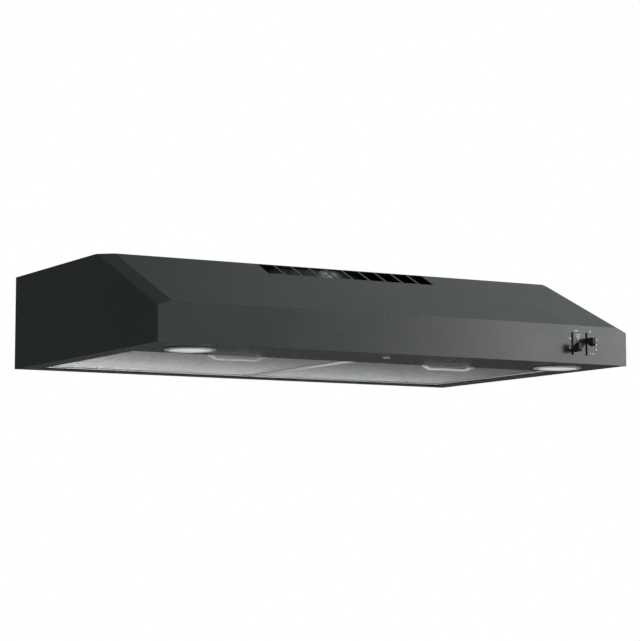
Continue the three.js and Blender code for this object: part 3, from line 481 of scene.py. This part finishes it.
PANELS = ["front_panel", "top_panel", "left_side_panel", "right_side_panel", "back_panel", "lamp_panel",
          "left_rail", "right_rail", "rear_rail"]
PLATES = ["rear_port_plate", "duct_collar", "damper_flap", "outlet_box", "motor_bracket", "switch_bracket",
          "wiring_box", "wiring_box_cover", "terminal_block", "fan_switch", "light_switch"]
TURNED = ["left_lamp_can", "right_lamp_can", "left_lamp_socket", "right_lamp_socket", "left_lamp_bulb",
          "right_lamp_bulb", "motor", "impeller", "impeller_shaft", "damper_rod", "blower_housing",
          "inlet_plate", "motor_capacitor", "cable_bushing", "left_filter_spring_1", "left_filter_spring_2",
          "right_filter_spring_1", "right_filter_spring_2", "centre_plug"]


def finish_panels():
    for node in PANELS:
        refine(node)
    for node in PLATES:
        refine(node, fold=0.5 * MM, rim=0.2 * MM)
    for node in TURNED:
        smooth_copy(node)
    for node in frame["nodes"]:
        if "screw" in node:
            refine(node, fold=0.25 * MM, rim=0.25 * MM)


# ------------------------------------------------------------------ filters

CELL = Vector((10, 5)) * MM         # one opening of the expanded sheet
STRAND = 0.75 * MM
STRAND_LIFT = 0.28 * MM
FOIL_GRID = (90, 86)
FOIL_SHEET = 0.3 * MM
FOIL_SWELL = 0.35 * MM
CREASES = 160                       # noise scale of the foil's creases


def expanded_sheet(low, high, level):
    """A sheet of rhombic openings whose strands rise and fall, as expanded metal's do."""
    bm = bmesh.new()
    columns = int((high.x - low.x) / (CELL.x / 2))
    rows = int((high.y - low.y) / (CELL.y / 2))
    step = Vector(((high.x - low.x) / columns, (high.y - low.y) / rows))
    points = {}

    def point(i, j):
        if (i, j) not in points:
            lift = STRAND_LIFT if i % 2 else -STRAND_LIFT
            points[i, j] = bm.verts.new((low.x + i * step.x, low.y + j * step.y, level + lift))
        return points[i, j]

    for i in range(1, columns):
        for j in range(1, rows):
            if (i + j) % 2:
                bm.faces.new([point(i - 1, j), point(i, j - 1), point(i + 1, j), point(i, j + 1)])
    return bm


def crumpled_sheet(low, high):
    """A closed, gently crumpled slab that fills the space from low to high."""
    bm = bmesh.new()
    columns, rows = FOIL_GRID
    middle = (low.z + high.z) / 2
    grids = []
    for side in (-1, 1):
        grid = []
        for j in range(rows + 1):
            line = []
            for i in range(columns + 1):
                x = low.x + (high.x - low.x) * i / columns
                y = low.y + (high.y - low.y) * j / rows
                crease = noise.noise(Vector((x, y, 0)) * CREASES) * FOIL_SWELL
                line.append(bm.verts.new((x, y, middle + side * FOIL_SHEET / 2 + crease)))
            grid.append(line)
        grids.append(grid)
    lower, upper = grids
    for j in range(rows):
        for i in range(columns):
            for grid in grids:
                bm.faces.new([grid[j][i], grid[j][i + 1], grid[j + 1][i + 1], grid[j + 1][i]])
    for i in range(columns):
        for j in (0, rows):
            bm.faces.new([lower[j][i], lower[j][i + 1], upper[j][i + 1], upper[j][i]])
    for j in range(rows):
        for i in (0, columns):
            bm.faces.new([lower[j][i], lower[j + 1][i], upper[j + 1][i], upper[j][i]])
    return bm


def finish_filter(side):
    refine(f"{side}_filter_frame", fold=0.4 * MM, rim=0.35 * MM)
    mesh_node = f"{side}_filter_mesh"
    low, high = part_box(mesh_node)
    face = make_piece(f"{mesh_node}_finish", expanded_sheet(low, high, (low.z + high.z) / 2), mesh_node)
    strands = face.modifiers.new("strands", "WIREFRAME")
    strands.thickness = STRAND
    strands.use_even_offset = False
    foil_node = f"{side}_filter_foil"
    low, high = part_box(foil_node)
    foil = make_piece(f"{foil_node}_finish", crumpled_sheet(low, high), foil_node, FOIL)
    smooth_faces(foil)
    finish_pull(f"{side}_filter_pull")


PULL_SHEET = 3 * MM
PULL_BEND = 2.5 * MM
PULL_FOOT = 7 * MM
PULL_SLANT = 8 * MM


def rounded_path(corners, radius, steps=6):
    """A polyline with each inner corner replaced by a short curve."""
    path = [corners[0]]
    for before, corner, after in zip(corners, corners[1:], corners[2:]):
        start = corner + (before - corner).normalized() * radius
        end = corner + (after - corner).normalized() * radius
        for i in range(steps + 1):
            t = i / steps
            path.append(start * (1 - t) ** 2 + corner * 2 * t * (1 - t) + end * t ** 2)
    path.append(corners[-1])
    return path


def finish_pull(node):
    """A bowed strap with rounded bends and lightly rounded edges."""
    low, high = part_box(node)
    top, bottom = high.z - PULL_SHEET / 2, low.z + PULL_SHEET / 2
    knee = PULL_FOOT + PULL_SLANT
    corners = [Vector((low.x + PULL_SHEET / 2, top)), Vector((low.x + PULL_FOOT, top)),
               Vector((low.x + knee, bottom)), Vector((high.x - knee, bottom)),
               Vector((high.x - PULL_FOOT, top)), Vector((high.x - PULL_SHEET / 2, top))]
    bm = bmesh.new()
    lines = []
    for y in (low.y + PULL_SHEET / 2, high.y - PULL_SHEET / 2):
        lines.append([bm.verts.new((p.x, y, p.y)) for p in rounded_path(corners, PULL_BEND)])
    front, rear = lines
    for i in range(len(front) - 1):
        bm.faces.new([front[i], front[i + 1], rear[i + 1], rear[i]])
    strap = make_piece(f"{node}_finish", bm, node)
    shell = strap.modifiers.new("sheet", "SOLIDIFY")
    shell.thickness = PULL_SHEET
    shell.offset = 0
    round_edges(strap, EDGE_ROUND, 3)
    shade_smooth(strap)


# ------------------------------------------------------------------ lamps

BEZEL_WALL = 5.6 * MM               # from the bezel's rim in to its neck
BEZEL_FLANGE = 3.1 * MM
BEZEL_LIP = 1.5 * MM                # radius of the rim's round edge
BEZEL_BEVEL = 3.2 * MM
BORE_ROUND = 1.2 * MM
LENS_CLEARANCE = 0.3 * MM
LENS_EDGE = 2 * MM
TURNS = 96                          # segments round a lamp
RIB_COUNT = 7
RIB_DEPTH = 0.25 * MM


def finish_lamp(side):
    bezel, lens = f"{side}_lamp_bezel", f"{side}_lamp_lens"
    low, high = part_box(bezel)
    centre = ((low.x + high.x) / 2, (low.y + high.y) / 2, 0)
    outer = (high.x - low.x) / 2
    lens_low, lens_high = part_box(lens)
    bore = (lens_high.x - lens_low.x) / 2 + LENS_CLEARANCE
    neck = outer - BEZEL_WALL
    flange = low.z + BEZEL_FLANGE
    ring = arc((outer - BEZEL_LIP, flange - BEZEL_LIP), BEZEL_LIP, 90, -60, 8)
    inside = arc((bore + BORE_ROUND, low.z + BORE_ROUND), BORE_ROUND, -90, -180, 6)
    profile = [(bore, high.z), (neck, high.z), (neck, flange), *ring,
               (outer - BEZEL_BEVEL, low.z), *inside, (bore, high.z)]
    shade_smooth(make_piece(f"{bezel}_finish", lathe(profile, TURNS, centre), bezel))
    finish_lens(lens, lens_low, lens_high, centre)


def finish_lens(node, low, high, centre):
    """A shallow dome with concentric ribs."""
    radius = (high.x - low.x) / 2
    edge = high.z - LENS_EDGE
    bulge = edge - low.z
    steps = 72
    dome = []
    for i in range(steps + 1):
        t = i / steps
        rib = RIB_DEPTH * (0.5 - 0.5 * math.cos(2 * math.pi * RIB_COUNT * t)) * min(1, 3 * t)
        dome.append((radius * t, edge - bulge * (1 - t * t) + rib * (1 - t ** 8)))
    profile = [*dome, (radius, high.z), (0, high.z)]
    shade_smooth(make_piece(f"{node}_finish", lathe(profile, TURNS, centre), node))


# ------------------------------------------------------------------ switches

KNOB_WIDTH = 5.6 * MM
KNOB_REACH = 19 * MM
STEM = Vector((2.4, 0, 7)) * MM
RECESS = 0.45 * MM
FAN_REST = 19 * MM
LIGHT_REST = 34 * MM
RIDGE_DEPTH = 0.5 * MM
RIDGE_RISE = 0.4 * MM               # between points along the nose
RIDGE_STEPS = 4                     # points to one ridge
RIDGE_POINTS = 11
FLANK_RIM = 1.1 * MM                # left around a lever's recessed side


def lever_profile(nose, back):
    """Outline of a lever that thickens towards a rounded, ridged nose, as [y, z] points."""
    front = arc((nose + 3 * MM, 0.2 * MM), 3 * MM, 270, 180, 6)
    ridges = [(nose + RIDGE_DEPTH / 2 * (1 - math.cos(2 * math.pi * i / RIDGE_STEPS)), (i + 1) * RIDGE_RISE)
              for i in range(1, RIDGE_POINTS + 1)]
    crown = arc((nose + 4 * MM, 5.4 * MM), 4 * MM, 180, 90, 6)
    return [(back, -3 * MM), *[(y, z - 0.2 * MM) for y, z in front], *ridges, *crown,
            (back - 12 * MM, 9.4 * MM), (back - 9.5 * MM, 8.3 * MM), (back - 3 * MM, 3 * MM),
            (back, 3 * MM)]


def finish_knob(node, rest, rise):
    """A lever with recessed sides and a ridged nose on a flat stem."""
    low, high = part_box(node)
    panel_low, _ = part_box("front_panel")
    back = panel_low.y - 0.6 * MM
    middle_x = (low.x + high.x) / 2
    level = panel_low.z + rest
    outline = lever_profile(back - KNOB_REACH, back)
    bm = bmesh.new()
    sides = [[bm.verts.new((middle_x + s * KNOB_WIDTH / 2, y, level + rise * z)) for y, z in outline]
             for s in (-1, 1)]
    count = len(outline)
    for i in range(count):
        j = (i + 1) % count
        bm.faces.new([sides[0][i], sides[0][j], sides[1][j], sides[1][i]])
    flanks = [bm.faces.new(side) for side in sides]
    bmesh.ops.recalc_face_normals(bm, faces=bm.faces)
    for flank in flanks:
        bmesh.ops.inset_region(bm, faces=[flank], thickness=FLANK_RIM)
        bmesh.ops.translate(bm, verts=flank.verts, vec=-flank.normal * RECESS)
    grip = make_piece(f"{node}_finish", bm, node)
    round_edges(grip, EDGE_ROUND, 2)
    shade_smooth(grip)
    stem = bmesh.new()
    depth = high.y - back
    bmesh.ops.create_cube(stem, size=1, matrix=Matrix.Translation((middle_x, back + depth / 2, level))
                          @ Matrix.Diagonal((STEM.x, depth, STEM.z, 1)))
    stem_piece = make_piece(f"{node}_stem", stem, node)
    stem_edges = stem_piece.modifiers.new("edges", "BEVEL")
    stem_edges.width = 0.3 * MM
    shade_smooth(stem_piece)


INK_DEPTH = 0.12 * MM
INK_GAP = 0.01 * MM


def ink_mark(name, outline):
    """A thin raised print on the front face; outline is [x, z] points."""
    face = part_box("front_panel")[0].y
    bm = bmesh.new()
    near = [bm.verts.new((x, face - INK_DEPTH, z)) for x, z in outline]
    far = [bm.verts.new((x, face - INK_GAP, z)) for x, z in outline]
    bm.faces.new(near)
    bm.faces.new(far)
    for i in range(len(outline)):
        j = (i + 1) % len(outline)
        bm.faces.new([near[i], near[j], far[j], far[i]])
    make_piece(name, bm, "front_panel", INK, hides=False)


def ink_dot(name, x, z, radius):
    ink_mark(name, arc((x, z), radius, 0, 345, 23))


def ink_bar(name, x, z, width, height):
    ink_mark(name, [(x, z), (x + width, z), (x + width, z + height), (x, z + height)])


def finish_marks():
    """Plain dots, bars and a stepped wedge beside the switches; heights are above the rim."""
    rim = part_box("front_panel")[0].z
    fan_low, fan_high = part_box("fan_knob")
    light_low, light_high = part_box("light_knob")
    fan_x, light_x = (fan_low.x + fan_high.x) / 2, (light_low.x + light_high.x) / 2
    for i, height in enumerate((22, 35.6)):
        ink_dot(f"fan_step_mark_{i + 1}", fan_x - 4.2 * MM, rim + height * MM, 1.35 * MM)
    ink_bar("fan_bar", fan_x + 4 * MM, rim + 46.5 * MM, 6.4 * MM, 1.7 * MM)
    for i in range(5):
        width = (1.4 + 1.9 * i) * MM
        left = fan_x + 10.5 * MM - width / 2
        ink_bar(f"fan_wedge_{i + 1}", left, rim + (32 + 2.3 * i) * MM, width, 1.1 * MM)
    ink_dot("light_symbol", light_x + 6.8 * MM, rim + 47.2 * MM, 1.6 * MM)
    for i, height in enumerate((21.5, 28.8, 35.4)):
        ink_dot(f"light_step_mark_{i + 1}", light_x + 17.6 * MM, rim + height * MM, 1.35 * MM)
    for i in range(3):
        ink_bar(f"light_bar_{i + 1}", light_x + (6 + 3.4 * i) * MM, rim + 14.4 * MM, 1.6 * MM, 1.6 * MM)


# ------------------------------------------------------------------ build

bpy.context.scene.view_settings.view_transform = "Standard"
make_camera()
make_world()
make_area_light("front_softbox", (2.37, -2.19, 0.22), (0.1, -0.25, -0.05), (1.55, 1.1), 26)
make_area_light("underside_softbox", (0.0, 0.30, -0.85), (0.0, 0.20, -0.13), (1.1, 0.3), 4.5)
make_area_light("top_softbox", (0.9, -0.4, 2.0), (0.0, 0.0, 0.0), (1.6, 1.0), 7)
make_floor()
finish_panels()
for side in ("left", "right"):
    finish_filter(side)
    finish_lamp(side)
finish_knob("fan_knob", FAN_REST, 1)
finish_knob("light_knob", LIGHT_REST, -1)
finish_marks()
